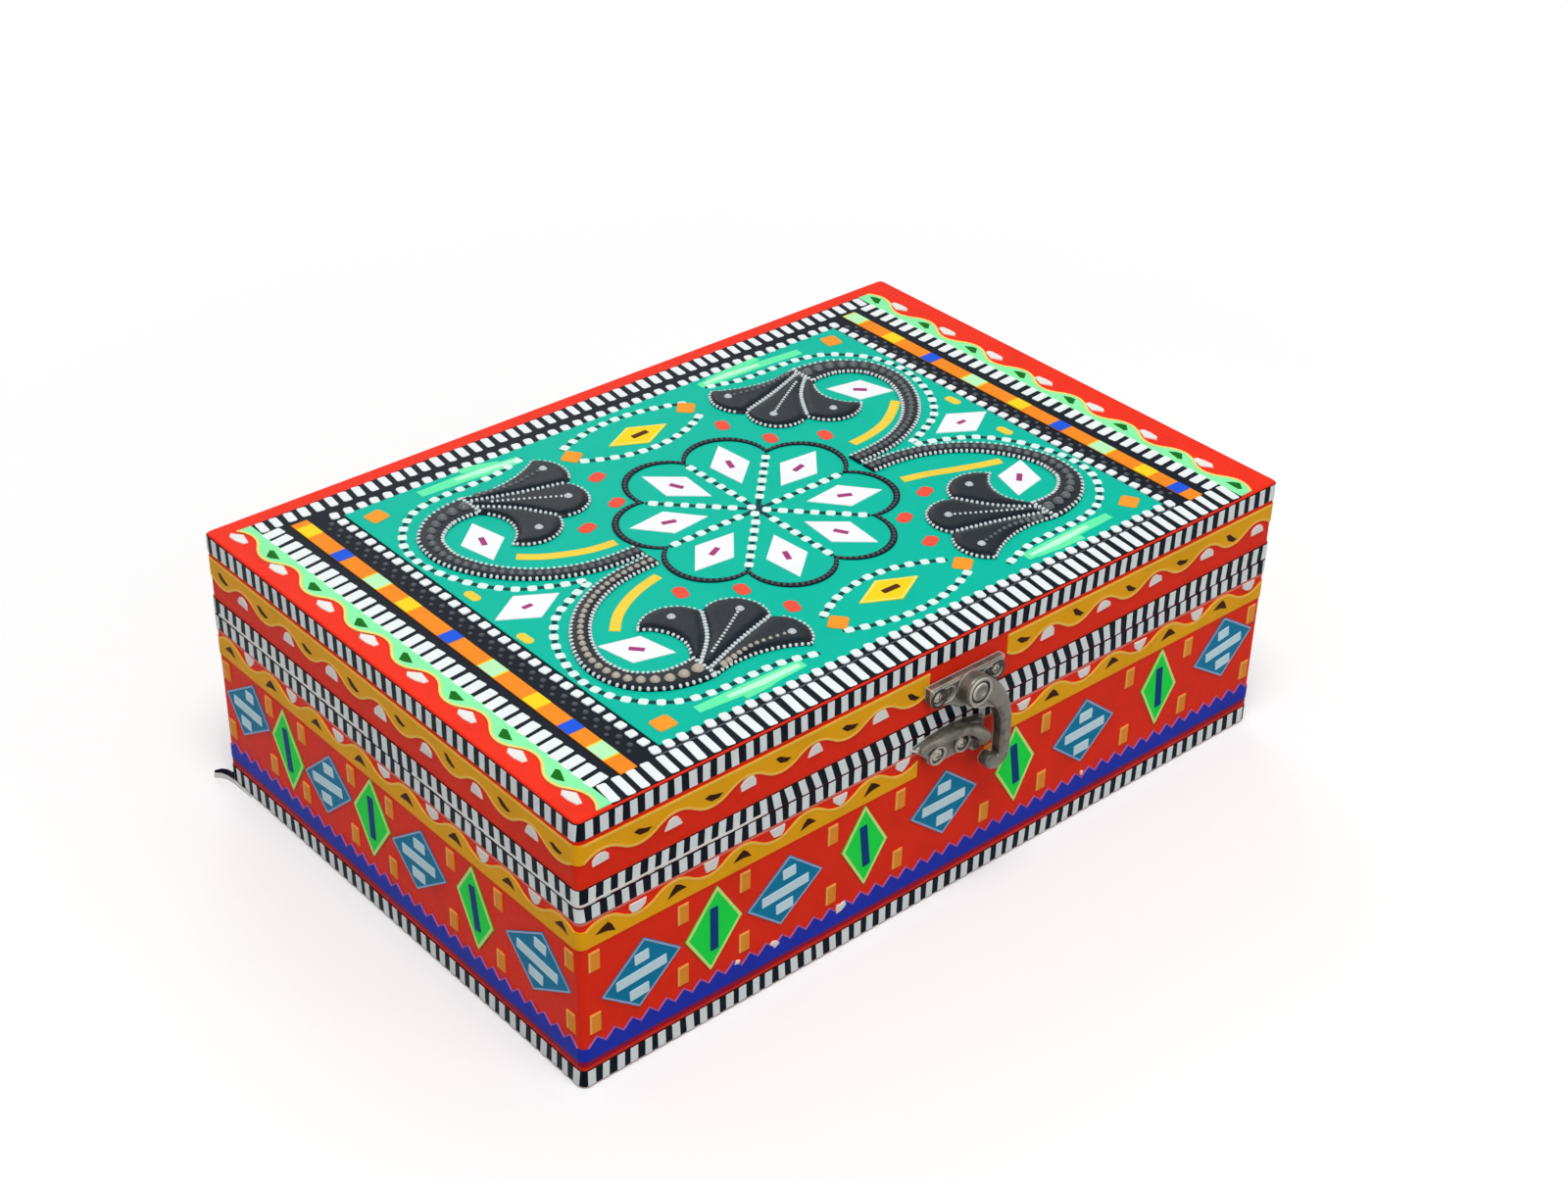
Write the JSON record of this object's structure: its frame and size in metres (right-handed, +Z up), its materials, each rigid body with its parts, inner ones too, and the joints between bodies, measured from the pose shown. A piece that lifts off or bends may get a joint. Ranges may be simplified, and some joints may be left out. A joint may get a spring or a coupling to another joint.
{
  "type": "decorative storage box",
  "caption": "Low rectangular wooden storage box with a hinged lid and a swing-hook latch, covered in red film and cut coloured tape ornament.",
  "frame": {"origin": "middle of the underside", "axes": "+X to the right along the length, -Y to the front where the latch is, +Z up"},
  "size_m": [0.2292, 0.1641, 0.0769],
  "materials": {
    "bare_wood": "planed, unvarnished",
    "red_film": "glossy film",
    "felt": "short felt",
    "black_tape": "glossy tape",
    "mustard_tape": "glossy tape",
    "blue_tape": "glossy tape",
    "green_tape": "glossy tape",
    "teal_tape": "glossy tape",
    "orange_tape": "glossy tape",
    "mint_tape": "glossy tape",
    "white_tape": "glossy tape",
    "yellow_tape": "glossy tape",
    "hinge_metal": "antique plated",
    "screw_metal": "antique plated",
    "latch_metal": "cast, antique plated, worn bright on the edges"
  },
  "bodies": {
    "base": {"base_front_wall": "bare_wood", "base_back_wall": "bare_wood", "base_left_wall": "bare_wood", "base_right_wall": "bare_wood", "base_bottom_panel": "bare_wood", "base_covering": "red_film", "base_floor_lining": "felt", "base_upper_strip": "black_tape", "base_lower_strip": "black_tape", "base_wavy_bands": "mustard_tape", "base_zigzag_bands": "blue_tape", "base_blue_diamonds": "blue_tape", "base_green_diamonds": "green_tape", "base_gold_tabs": "mustard_tape", "hinge_left_base_leaf": "hinge_metal", "hinge_right_base_leaf": "hinge_metal", "hinge_left_pin": "hinge_metal", "hinge_right_pin": "hinge_metal", "hinge_base_screws": "screw_metal", "latch_catch": "latch_metal", "latch_catch_screws": "screw_metal"},
    "lid": {"lid_top_panel": "bare_wood", "lid_front_rim": "bare_wood", "lid_back_rim": "bare_wood", "lid_left_rim": "bare_wood", "lid_right_rim": "bare_wood", "lid_covering": "red_film", "lid_lining": "felt", "lid_upper_strip": "black_tape", "lid_lower_strip": "black_tape", "lid_wavy_bands": "mustard_tape", "lid_black_sheet": "black_tape", "lid_teal_field": "teal_tape", "lid_orange_bands": "orange_tape", "lid_scallop_bands": "mint_tape", "lid_flower_outline": "black_tape", "lid_scrolls": "black_tape", "lid_white_rhombi": "white_tape", "lid_yellow_diamonds": "yellow_tape", "hinge_left_lid_leaf": "hinge_metal", "hinge_right_lid_leaf": "hinge_metal", "hinge_lid_screws": "screw_metal", "latch_plate": "latch_metal", "latch_rivet": "latch_metal", "latch_plate_screws": "screw_metal"},
    "hook": {"latch_hook": "latch_metal"}
  },
  "joints": [
    {"name": "lid_hinge", "type": "hinge", "parent": "base", "child": "lid", "pos_m": [0, 0.07855, 0.0528], "axis": [-1, 0, 0], "range_deg": [0, 180]},
    {"name": "hook_swing", "type": "hinge", "parent": "lid", "child": "hook", "pos_m": [0.0002, -0.081, 0.0633], "axis": [0, -1, 0], "range_deg": [-6, 100]}
  ]
}
